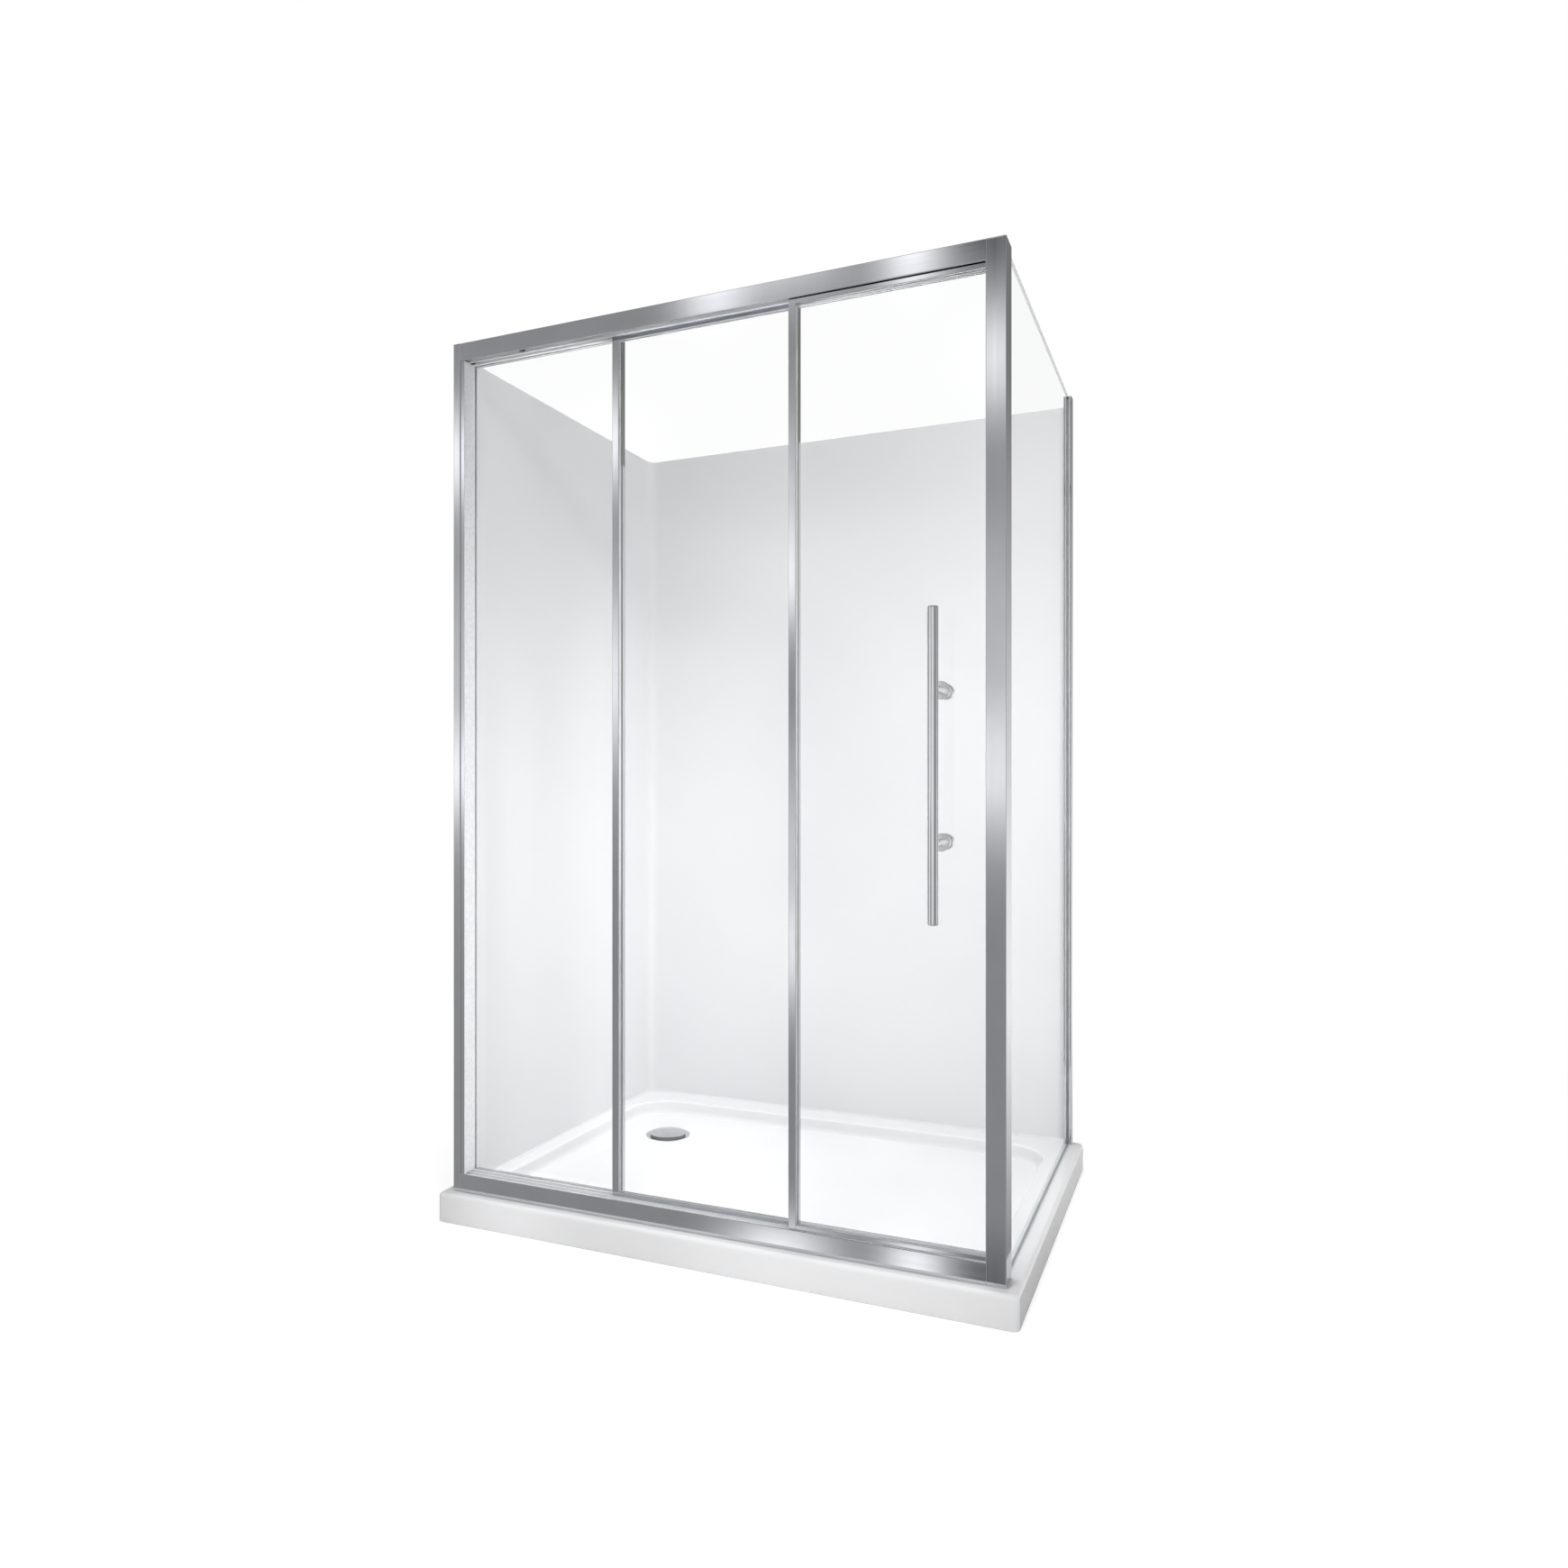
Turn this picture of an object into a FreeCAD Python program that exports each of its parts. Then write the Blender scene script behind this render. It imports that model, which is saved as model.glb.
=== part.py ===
import FreeCAD, Part
import os

# Shower enclosure: low tray, two-wall liner, framed front with one fixed and two sliding
# glass panels, corner post and a glass return panel.
# Millimetres. X runs along the front from the wall to the corner post, Y from the front to
# the back wall, Z up. The origin is the centre of the tray's footprint, on the floor.

V = FreeCAD.Vector
AXIS_X = V(1, 0, 0)
AXIS_Y = V(0, 1, 0)
AXIS_Z = V(0, 0, 1)

overcut = 1.0  # how far a cutter reaches past the face that it opens

# ---- tray ----
tray_length = 1200.0
tray_width = 900.0
tray_height = 60.0
tray_corner_radius = 12.0
tray_edge_radius = 8.0
basin_depth = 32.0
basin_corner_radius = 95.0
basin_wall_lean = 5.0
basin_foot_radius = 14.0
basin_rim_radius = 6.0
floor_fall = 3.0
floor_thickness = 6.0
front_rim_behind_frame = 12.0
left_rim_width = 40.0
back_rim_width = 75.0

# ---- waste ----
waste_from_left = 208.0
waste_from_back = 245.0
waste_flange_diameter = 110.0
waste_flange_thickness = 2.5
waste_hub_diameter = 84.0
waste_hub_wall = 3.0
waste_hub_length = 16.5
waste_body_wall = 5.0
waste_body_floor = 2.0
waste_ground_clearance = 2.0
waste_collar_diameter = 108.0
waste_collar_thickness = 2.0
waste_washer_thickness = 2.0
waste_outlet_bore = 40.0
waste_outlet_wall = 4.0
waste_outlet_height = 7.0
waste_recess_clearance = 8.0
waste_seat_clearance = 2.0
waste_hole_clearance = 1.0
strainer_wall = 1.5
strainer_rim_diameter = 88.0
strainer_depth = 14.0
strainer_slot_width = 3.0
strainer_slot_count = 7
cover_diameter = 92.0
cover_edge_thickness = 2.2
cover_dome_rise = 3.0
cover_foot_height = 2.4
cover_foot_diameter = 6.0
cover_foot_circle = 78.0
cover_foot_count = 3

# ---- frame as a whole ----
side_margin = 24.5
front_margin = 22.5
frame_height = 1785.0
frame_depth = 50.0
wall_thickness = 2.0
edge_radius = 1.0
cap_thickness = 2.0

# ---- profiles ----
head_height = 37.0
sill_height = 38.0
first_lane_offset = 10.75
lane_pitch = 15.0
lane_width = 13.0
head_pocket_depth = 13.0
sill_pocket_depth = 14.0
channel_width = 17.0
adjuster_reach = 27.0
adjuster_tuck = 9.0
post_width = 35.0
post_pocket_depth = 17.0
return_channel_width = 18.0
return_channel_depth = 28.0
groove_rib = 1.5

# ---- glass ----
door_glass = 5.0
door_gasket = 1.45
return_glass_thickness = 6.0
return_gasket = 1.75
glass_bite = 8.0
gasket_back = 1.0
return_bite = 10.0
return_seal_height = 3.0
return_seal_lip = 9.0
return_seal_wall = 2.0

# ---- panels ----
stile_width = 15.0
stile_depth = 11.5
rail_web = 5.0
top_rail_height = 21.0
bottom_rail_height = 19.0
rail_reveal_top = 10.0
rail_reveal_bottom = 9.0
fixed_panel_end = 388.0
lead_panel_start = 754.0
lead_end_gap = 2.0
hook_reach = 2.4
hook_thickness = 2.0
hook_inset = 3.0
hook_gap = 0.4
hook_end_gap = 3.0
closing_seal_width = 8.0
closing_seal_gap = 0.5

# ---- travel ----
middle_travel = 340.0
lead_travel = 585.0
bumper_length = 9.0
bumper_gap = 0.5

# ---- rollers and guides ----
wheel_diameter = 16.0
wheel_thickness = 4.4
wheel_bore = 5.1
wheel_edge_radius = 0.5
axle_diameter = 5.0
axle_head_diameter = 8.0
axle_head_thickness = 0.8
running_gap = 0.3
bracket_plate = 2.0
bracket_width = 22.0
bracket_foot_length = 34.0
bracket_foot_clearance = 0.2
bracket_top_margin = 5.0
bracket_from_end = 60.0
plate_behind_centre = 0.75
plate_to_ledge_gap = 0.4
shoe_length = 40.0
shoe_from_end = 45.0
shoe_side_gap = 0.3
shoe_floor_gap = 0.4

# ---- screws ----
door_screw_diameter = 3.5
door_screw_length = 30.0
door_screw_head_diameter = 6.4
door_screw_head = 2.0
frame_screw_diameter = 4.0
frame_screw_length = 12.0
frame_screw_head_diameter = 8.0
frame_screw_head = 1.8
adjuster_screw_count = 3
corner_block_reach = 30.0
corner_block_post_reach = 16.0
wall_hole_diameter = 6.5
wall_hole_outer_spacing = 1500.0
wall_hole_inner_spacing = 500.0

# ---- handle ----
handle_from_post = 78.0
handle_standoff = 62.0
handle_diameter = 19.0
handle_length = 540.0
handle_centre_height = 886.0
handle_end_radius = 3.0
stem_spacing = 264.0
stem_diameter = 14.0
stud_diameter = 8.0
stem_socket = 9.0
rosette_diameter = 32.0
rosette_thickness = 5.0
washer_diameter = 27.0
washer_thickness = 1.0
bush_diameter = 14.0
knob_diameter = 30.0
knob_neck_diameter = 24.0
knob_length = 34.0
knob_neck_length = 14.0
knob_socket = 16.0
knob_edge_radius = 3.0

# ---- liner ----
liner_thickness = 5.0
liner_below_frame_top = 17.0
liner_corner_radius = 22.0
liner_edge_radius = 1.5
sealant_leg = 5.0

# ---- places worked out from the sizes ----
tray_left = -tray_length / 2
tray_right = tray_length / 2
tray_front = -tray_width / 2
tray_back = tray_width / 2
frame_left = tray_left + side_margin
frame_right = tray_right - side_margin
frame_front = tray_front + front_margin
frame_back = frame_front + frame_depth
rim = tray_height
frame_top = rim + frame_height
head_bottom = frame_top - head_height
sill_top = rim + sill_height
post_left = frame_right - post_width
rail_left = frame_left + channel_width
adjuster_right = frame_left + adjuster_reach
lanes = [frame_front + first_lane_offset + i * lane_pitch for i in range(3)]
lead_lane, middle_lane, fixed_lane = lanes
lane_half = lane_width / 2
fin = lane_pitch - lane_width
groove_half = door_glass / 2 + door_gasket
groove_depth = glass_bite + gasket_back
return_x = frame_right - return_channel_width / 2
return_groove_half = return_glass_thickness / 2 + return_gasket
return_groove_depth = return_bite + gasket_back
ledge_top = head_bottom + head_pocket_depth + wall_thickness
sill_deck = sill_top - sill_pocket_depth
door_top = head_bottom - rail_reveal_top + top_rail_height
door_bottom = sill_top + rail_reveal_bottom - bottom_rail_height
fixed_stile_left = frame_left + fixed_panel_end - stile_width
lead_left = frame_left + lead_panel_start
lead_right = post_left + post_pocket_depth - lead_end_gap
middle_left = fixed_stile_left
middle_right = lead_left + stile_width


def box(x0, x1, y0, y1, z0, z1):
    return Part.makeBox(x1 - x0, y1 - y0, z1 - z0, V(x0, y0, z0))


def rod(radius, length, start, direction):
    return Part.makeCylinder(radius, length, start, direction)


def joined(shapes):
    return shapes[0].fuse(shapes[1:]).removeSplitter()


def rounded(shape, radius, chosen):
    """Round the edges that chosen picks by their two ends."""
    edges = []
    for edge in shape.Edges:
        ends = [vertex.Point for vertex in edge.Vertexes]
        if len(ends) == 2 and chosen(ends[0], ends[1]):
            edges.append(edge)
    return shape.makeFillet(radius, edges)


def near(a, b):
    return abs(a - b) < 1e-6


def rounded_circles(shape, radius, diameter, chosen=lambda centre: True):
    """Round the circular edges of one diameter whose centres chosen picks."""
    edges = []
    for edge in shape.Edges:
        curve = edge.Curve
        if hasattr(curve, "Radius") and near(curve.Radius, diameter / 2) and chosen(curve.Center):
            edges.append(edge)
    return shape.makeFillet(radius, edges)


def write(name, *shapes):
    """Write one node; several shapes stay separate solids."""
    shape = shapes[0] if len(shapes) == 1 else Part.makeCompound(list(shapes))
    shape.exportStep("parts/" + name + ".step")


def rounded_outline(x0, x1, y0, y1, z, r):
    """A closed rectangle with round corners, as four lines and four arcs."""
    h = r * 0.5 ** 0.5
    corners = [
        (x1 - r, y1 - r, (r, 0), (h, h), (0, r)),
        (x0 + r, y1 - r, (0, r), (-h, h), (-r, 0)),
        (x0 + r, y0 + r, (-r, 0), (-h, -h), (0, -r)),
        (x1 - r, y0 + r, (0, -r), (h, -h), (r, 0)),
    ]
    edges = []
    for i, (cx, cy, start, middle, end) in enumerate(corners):
        points = [V(cx + dx, cy + dy, z) for dx, dy in (start, middle, end)]
        edges.append(Part.Arc(*points).toShape())
        nx, ny, following, _, _ = corners[(i + 1) % 4]
        edges.append(Part.makeLine(points[2], V(nx + following[0], ny + following[1], z)))
    return Part.Wire(edges)


# ---------------------------------------------------------------- tray and waste

basin_left = frame_left + left_rim_width
basin_right = post_left - front_rim_behind_frame
basin_front = frame_back + front_rim_behind_frame
basin_back = tray_back - back_rim_width
basin_floor = rim - basin_depth
waste_x = tray_left + waste_from_left
waste_y = tray_back - waste_from_back
waste_centre = V(waste_x, waste_y, 0)
drain_level = basin_floor - floor_fall
seat_level = drain_level - waste_flange_thickness
under_level = seat_level - floor_thickness


def on_waste(z):
    return V(waste_x, waste_y, z)


def ring(outer, inner, z0, z1):
    """An upright ring on the waste's axis, by its two diameters."""
    whole = rod(outer / 2, z1 - z0, on_waste(z0), AXIS_Z)
    return whole.cut(rod(inner / 2, z1 - z0, on_waste(z0), AXIS_Z))


def basin_cutter():
    top = rounded_outline(basin_left, basin_right, basin_front, basin_back, rim, basin_corner_radius)
    inset = basin_wall_lean
    foot = rounded_outline(
        basin_left + inset, basin_right - inset, basin_front + inset, basin_back - inset,
        basin_floor, basin_corner_radius - inset,
    )
    cutter = Part.makeLoft([foot, top], True, True)
    at_floor = lambda p: near(p.z, basin_floor)
    return rounded(cutter, basin_foot_radius, lambda a, b: at_floor(a) and at_floor(b))


def floor_cutter():
    """The shallow funnel that leads water from the basin's foot to the waste."""
    inset = basin_wall_lean + basin_foot_radius
    upper = rounded_outline(
        basin_left + inset, basin_right - inset, basin_front + inset, basin_back - inset,
        basin_floor, basin_corner_radius - inset,
    )
    reach = waste_flange_diameter / 2 + waste_seat_clearance
    lower = rounded_outline(
        waste_x - reach, waste_x + reach, waste_y - reach, waste_y + reach,
        drain_level, reach - waste_seat_clearance,
    )
    return Part.makeLoft([lower, upper], True, True)


def make_tray():
    tray = box(tray_left, tray_right, tray_front, tray_back, 0, rim)
    tray = rounded(tray, tray_corner_radius, lambda a, b: not near(a.z, b.z))
    tray = rounded(tray, tray_edge_radius, lambda a, b: near(a.z, rim) and near(b.z, rim))
    tray = tray.cut(basin_cutter())
    inside = lambda p: (basin_left - overcut < p.x < basin_right + overcut
                        and basin_front - overcut < p.y < basin_back + overcut)
    tray = rounded(
        tray, basin_rim_radius,
        lambda a, b: near(a.z, rim) and near(b.z, rim) and inside(a) and inside(b),
    )
    tray = tray.cut(floor_cutter())
    seat = waste_flange_diameter / 2 + waste_seat_clearance
    tray = tray.cut(rod(seat, floor_fall + waste_flange_thickness, on_waste(seat_level), AXIS_Z))
    hole = waste_hub_diameter / 2 + waste_hole_clearance
    tray = tray.cut(rod(hole, rim, on_waste(0), AXIS_Z))
    recess = waste_collar_diameter / 2 + waste_recess_clearance
    return tray.cut(rod(recess, under_level, on_waste(0), AXIS_Z))


def make_waste():
    hub_inner = waste_hub_diameter - 2 * waste_hub_wall
    hub_bottom = seat_level - waste_hub_length
    flange = joined([
        ring(waste_flange_diameter, hub_inner, seat_level, drain_level),
        ring(waste_hub_diameter, hub_inner, hub_bottom, seat_level),
    ])
    flange = rounded_circles(flange, edge_radius, waste_flange_diameter, lambda c: near(c.z, drain_level))
    write("waste_flange", flange)
    washer_bottom = under_level - waste_washer_thickness
    write("waste_washer", ring(waste_collar_diameter, waste_hub_diameter, washer_bottom, under_level))
    collar_bottom = washer_bottom - waste_collar_thickness
    body_outer = waste_hub_diameter + 2 * waste_body_wall
    floor_top = waste_ground_clearance + waste_body_floor
    outlet_outer = waste_outlet_bore + 2 * waste_outlet_wall
    outlet_top = waste_ground_clearance + waste_outlet_height
    body = joined([
        ring(waste_collar_diameter, waste_hub_diameter, collar_bottom, washer_bottom),
        ring(body_outer, waste_hub_diameter, floor_top, collar_bottom),
        ring(body_outer, waste_outlet_bore, waste_ground_clearance, floor_top),
        ring(outlet_outer, waste_outlet_bore, floor_top, outlet_top),
    ])
    write("waste_body", body)


def make_waste_cover():
    hub_inner = waste_hub_diameter - 2 * waste_hub_wall
    basket = hub_inner - 4 * running_gap
    rim_bottom = drain_level + running_gap
    rim_top = rim_bottom + strainer_wall
    basket_bottom = rim_top - strainer_depth
    strainer = joined([
        ring(strainer_rim_diameter, basket - 2 * strainer_wall, rim_bottom, rim_top),
        ring(basket, basket - 2 * strainer_wall, basket_bottom, rim_bottom),
        rod(basket / 2, strainer_wall, on_waste(basket_bottom), AXIS_Z),
    ])
    pitch = (basket - 2 * strainer_wall) / (strainer_slot_count + 1)
    for i in range(strainer_slot_count):
        offset = (i - (strainer_slot_count - 1) / 2) * pitch
        half = ((basket / 2 - 3 * strainer_wall) ** 2 - offset ** 2) ** 0.5
        slot = box(
            waste_x - half, waste_x + half,
            waste_y + offset - strainer_slot_width / 2, waste_y + offset + strainer_slot_width / 2,
            basket_bottom, basket_bottom + strainer_wall,
        )
        strainer = strainer.cut(slot)
    write("hair_strainer", strainer)
    edge_bottom = rim_top + cover_foot_height
    edge_top = edge_bottom + cover_edge_thickness
    radius = cover_diameter / 2
    points = [
        V(0, 0, edge_bottom), V(radius - edge_radius, 0, edge_bottom),
        V(radius, 0, edge_bottom + edge_radius), V(radius, 0, edge_top - edge_radius),
    ]
    crown = V(0, 0, edge_top + cover_dome_rise)
    rise = crown.z - points[-1].z
    sphere = (radius ** 2 + rise ** 2) / (2 * rise)
    shoulder = V(radius / 2, 0, crown.z - sphere + (sphere ** 2 - (radius / 2) ** 2) ** 0.5)
    edges = [Part.makeLine(a, b) for a, b in zip(points, points[1:])]
    edges.append(Part.Arc(points[-1], shoulder, crown).toShape())
    edges.append(Part.makeLine(crown, points[0]))
    dome = Part.Face(Part.Wire(edges)).revolve(V(0, 0, 0), AXIS_Z, 360)
    dome.translate(waste_centre)
    cover = dome
    for i in range(cover_foot_count):
        turn = FreeCAD.Rotation(AXIS_Z, 90 + i * 360 / cover_foot_count)
        arm = turn.multVec(V(cover_foot_circle / 2, 0, 0))
        foot_height = cover_foot_height + cover_edge_thickness / 2
        cover = cover.fuse(rod(cover_foot_diameter / 2, foot_height, on_waste(rim_top) + arm, AXIS_Z))
    write("waste_cover", cover)


# ---------------------------------------------------------------- liner

def make_liner():
    left = frame_left
    right = frame_right - return_channel_width
    top = frame_top - liner_below_frame_top
    outer = box(left, right, frame_back, tray_back, rim, top)
    inner = box(left + liner_thickness, right + overcut, frame_back - overcut, tray_back - liner_thickness,
                rim - overcut, top + overcut)
    liner = outer.cut(inner)
    corner = lambda p: near(p.x, left + liner_thickness) and near(p.y, tray_back - liner_thickness)
    liner = rounded(liner, liner_corner_radius, lambda a, b: corner(a) and corner(b))
    outer_corner = lambda p: near(p.x, left) and near(p.y, tray_back)
    outer_radius = liner_corner_radius + liner_thickness
    liner = rounded(liner, outer_radius, lambda a, b: outer_corner(a) and outer_corner(b))
    shows = lambda p: near(p.z, top) and not near(p.x, left) and not near(p.y, tray_back)
    liner = rounded(liner, liner_edge_radius, lambda a, b: shows(a) and shows(b))
    write("wall_liner", liner)
    face_x = left + liner_thickness
    face_y = tray_back - liner_thickness
    corner_x = face_x + liner_corner_radius
    corner_y = face_y - liner_corner_radius
    left_bead = Part.Face(Part.makePolygon([
        V(face_x, frame_back, rim), V(face_x + sealant_leg, frame_back, rim),
        V(face_x, frame_back, rim + sealant_leg), V(face_x, frame_back, rim),
    ])).extrude(V(0, corner_y - frame_back, 0))
    back_bead = Part.Face(Part.makePolygon([
        V(corner_x, face_y, rim), V(corner_x, face_y - sealant_leg, rim),
        V(corner_x, face_y, rim + sealant_leg), V(corner_x, face_y, rim),
    ])).extrude(V(right - corner_x, 0, 0))
    corner_bead = Part.Face(Part.makePolygon([
        V(face_x, corner_y, rim), V(face_x + sealant_leg, corner_y, rim),
        V(face_x, corner_y, rim + sealant_leg), V(face_x, corner_y, rim),
    ])).revolve(V(corner_x, corner_y, 0), AXIS_Z, -90)
    write("liner_sealant", joined([left_bead, corner_bead, back_bead]))


# ---------------------------------------------------------------- frame

def long_edge(a, b):
    """True for an edge that runs along X."""
    return near(a.y, b.y) and near(a.z, b.z) and not near(a.x, b.x)


def upright(a, b):
    return near(a.x, b.x) and near(a.y, b.y)


def lane_fins(z0, z1):
    """The upright walls between the three lanes of the head or the sill."""
    return [box(rail_left, post_left, c + lane_half, c + lane_half + fin, z0, z1) for c in lanes[:2]]


def glass_ribs(z0, z1):
    """The two ribs that hold the fixed glass and its gasket in the rear lane."""
    return [
        box(rail_left, post_left, fixed_lane - groove_half - groove_rib, fixed_lane - groove_half, z0, z1),
        box(rail_left, post_left, fixed_lane + groove_half, fixed_lane + groove_half + groove_rib, z0, z1),
    ]


def corner_block_box(x0, x1, z0, z1):
    return box(x0, x1, middle_lane + lane_half + fin, frame_back - wall_thickness, z0, z1)


head_block_levels = (ledge_top, frame_top - wall_thickness)
sill_block_levels = (rim + wall_thickness, sill_deck - wall_thickness)
block_left_span = (frame_left + wall_thickness, rail_left + corner_block_reach)
block_right_span = (post_left - corner_block_reach, post_left + corner_block_post_reach)
corner_blocks = [
    corner_block_box(*span, *levels)
    for span in (block_left_span, block_right_span)
    for levels in (head_block_levels, sill_block_levels)
]


def frame_screw_places():
    """The x and z of each screw through the frame's rear faces."""
    places = []
    for z0, z1 in (head_block_levels, sill_block_levels):
        z = (z0 + z1) / 2
        places.append((frame_left + (liner_thickness + channel_width) / 2, z))
        places.append((rail_left + corner_block_reach / 2, z))
        places.append((post_left - corner_block_reach / 2, z))
        places.append((post_left + corner_block_post_reach / 2, z))
    step = (head_bottom - sill_top) / (adjuster_screw_count + 1)
    for i in range(adjuster_screw_count):
        places.append((frame_left + (adjuster_tuck + channel_width) / 2, sill_top + (i + 1) * step))
    return places


def screw_holes():
    return [
        rod(frame_screw_diameter / 2, frame_screw_length, V(x, frame_back, z), -AXIS_Y)
        for x, z in frame_screw_places()
    ]


def without(shape, cutters):
    for cutter in cutters:
        shape = shape.cut(cutter)
    return shape


def make_head_rail():
    top = frame_top
    parts = [
        box(rail_left, post_left, frame_front, frame_front + wall_thickness, head_bottom, top),
        box(rail_left, post_left, frame_back - wall_thickness, frame_back, head_bottom, top),
        box(rail_left, post_left, frame_front, frame_back, top - wall_thickness, top),
    ]
    parts += lane_fins(head_bottom, top)
    ledge_bottom = ledge_top - wall_thickness
    for centre in (lead_lane, middle_lane):
        ledge_front = centre - plate_behind_centre + plate_to_ledge_gap
        parts.append(box(rail_left, post_left, ledge_front, centre + lane_half, ledge_bottom, ledge_top))
    web_front = middle_lane + lane_half + fin
    parts.append(box(rail_left, post_left, web_front, frame_back - wall_thickness, ledge_bottom, ledge_top))
    parts += glass_ribs(head_bottom, ledge_bottom)
    head = joined(parts)
    outer = lambda p: near(p.y, frame_front)
    head = rounded(head, edge_radius, lambda a, b: long_edge(a, b) and outer(a))
    write("head_rail", without(head, screw_holes()))


def make_sill_rail():
    deck_bottom = sill_deck - wall_thickness
    lane_front = lead_lane - lane_half
    parts = [
        box(rail_left, post_left, frame_front, frame_front + wall_thickness, rim, sill_top),
        box(rail_left, post_left, frame_front, lane_front, sill_deck, sill_top),
        box(rail_left, post_left, frame_back - wall_thickness, frame_back, rim, sill_top),
        box(rail_left, post_left, frame_front, frame_back, rim, rim + wall_thickness),
        box(rail_left, post_left, frame_front, frame_back, deck_bottom, sill_deck),
    ]
    parts += lane_fins(sill_deck, sill_top)
    parts += glass_ribs(sill_deck, sill_top)
    sill = joined(parts)
    outer = lambda p: near(p.y, frame_front)
    sill = rounded(sill, edge_radius, lambda a, b: long_edge(a, b) and outer(a))
    write("sill_rail", without(sill, screw_holes()))


def wall_holes(start_x, start_y, direction, depth):
    centre = rim + frame_height / 2
    spacings = (wall_hole_outer_spacing, wall_hole_inner_spacing)
    heights = [centre + side * spacing / 2 for spacing in spacings for side in (-1, 1)]
    return [rod(wall_hole_diameter / 2, depth, V(start_x, start_y, z), direction) for z in heights]


def make_wall_channel():
    """The full-height channel on the wall at the fixed panel's end, and the profile that slides in it."""
    profile_top = frame_top - cap_thickness
    channel = joined([
        box(frame_left, frame_left + wall_thickness, frame_front, frame_back, rim, profile_top),
        box(frame_left, rail_left, frame_front, frame_front + wall_thickness, rim, profile_top),
        box(frame_left, rail_left, frame_back - wall_thickness, frame_back, rim, profile_top),
    ])
    outer = lambda p: near(p.y, frame_front)
    channel = rounded(channel, edge_radius, lambda a, b: upright(a, b) and outer(a))
    holes = wall_holes(frame_left, (frame_front + frame_back) / 2, AXIS_X, wall_thickness)
    write("wall_channel", without(channel, screw_holes() + holes))
    write("wall_channel_cap", box(frame_left, rail_left, frame_front, frame_back, profile_top, frame_top))

    front = frame_front + wall_thickness
    back = frame_back - wall_thickness
    left = frame_left + adjuster_tuck
    face = adjuster_right - wall_thickness
    groove_bottom = adjuster_right - groove_depth
    adjuster = joined([
        box(left, adjuster_right, front, front + wall_thickness, sill_top, head_bottom),
        box(left, adjuster_right, back - wall_thickness, back, sill_top, head_bottom),
        box(face, adjuster_right, front, back, sill_top, head_bottom),
        box(groove_bottom - groove_rib, adjuster_right, fixed_lane - groove_half - groove_rib,
            fixed_lane + groove_half + groove_rib, sill_top, head_bottom),
    ])
    adjuster = adjuster.cut(box(groove_bottom, adjuster_right, fixed_lane - groove_half,
                                fixed_lane + groove_half, sill_top, head_bottom))
    adjuster = rounded(adjuster, edge_radius, lambda a, b: upright(a, b) and near(a.y, front)
                       and near(a.x, adjuster_right))
    write("jamb_adjuster", without(adjuster, screw_holes()))


def make_corner_post():
    profile_top = frame_top - cap_thickness
    post = box(post_left, frame_right, frame_front, frame_back, rim, profile_top)
    pocket_right = post_left + post_pocket_depth
    lane = (lead_lane - lane_half, lead_lane + lane_half)
    post = post.cut(box(post_left, pocket_right, *lane, rim, profile_top))
    groove_back = frame_back - return_groove_depth
    post = post.cut(box(return_x - return_groove_half, return_x + return_groove_half,
                        groove_back, frame_back, rim, profile_top))
    front_room = box(pocket_right + wall_thickness, frame_right - wall_thickness,
                     frame_front + wall_thickness, groove_back - groove_rib, rim, profile_top)
    rear_room = box(post_left + wall_thickness, return_x - return_groove_half - groove_rib,
                    lane[1] + fin, frame_back - wall_thickness, rim, profile_top)
    post = post.cut(joined([front_room, rear_room]))
    outer = lambda p: near(p.y, frame_front) or (near(p.x, frame_right) and near(p.y, frame_back))
    post = rounded(post, edge_radius, lambda a, b: upright(a, b) and outer(a))
    write("corner_post", without(post, corner_blocks + screw_holes()))
    write("corner_post_cap", box(post_left, frame_right, frame_front, frame_back, profile_top, frame_top))


def make_frame_hardware():
    blocks = [without(block, screw_holes()) for block in corner_blocks]
    write("frame_corner_blocks", *blocks)
    screws = []
    for x, z in frame_screw_places():
        shank = rod(frame_screw_diameter / 2, frame_screw_length, V(x, frame_back, z), -AXIS_Y)
        head = rod(frame_screw_head_diameter / 2, frame_screw_head, V(x, frame_back, z), AXIS_Y)
        screws.append(shank.fuse(head))
    write("frame_screws", *screws)
    stops = [(lead_lane, lead_left - lead_travel), (middle_lane, middle_left - middle_travel)]
    bumpers = []
    for centre, door_end in stops:
        right = door_end - bumper_gap
        bumpers.append(box(right - bumper_length, right, centre - lane_half, centre + lane_half,
                           head_bottom + hook_end_gap, ledge_top - wall_thickness))
    write("door_bumpers", *bumpers)


# ---------------------------------------------------------------- panels

def slab(x0, x1, centre, z0, z1):
    return box(x0, x1, centre - door_glass / 2, centre + door_glass / 2, z0, z1)


def groove(x0, x1, centre, z0, z1):
    return box(x0, x1, centre - groove_half, centre + groove_half, z0, z1)


def hook(stile_left, from_left, centre, side):
    """The lip by which one panel picks up the next; side is -1 for the front face, 1 for the rear."""
    face = centre + side * stile_depth / 2
    tip = face + side * hook_reach
    return box(stile_left + from_left, stile_left + from_left + hook_thickness,
               min(face, tip), max(face, tip), sill_top + hook_end_gap, head_bottom - hook_end_gap)


rear_hook = (hook_inset, 1)
front_hook = (hook_inset + hook_thickness + hook_gap, -1)


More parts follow.
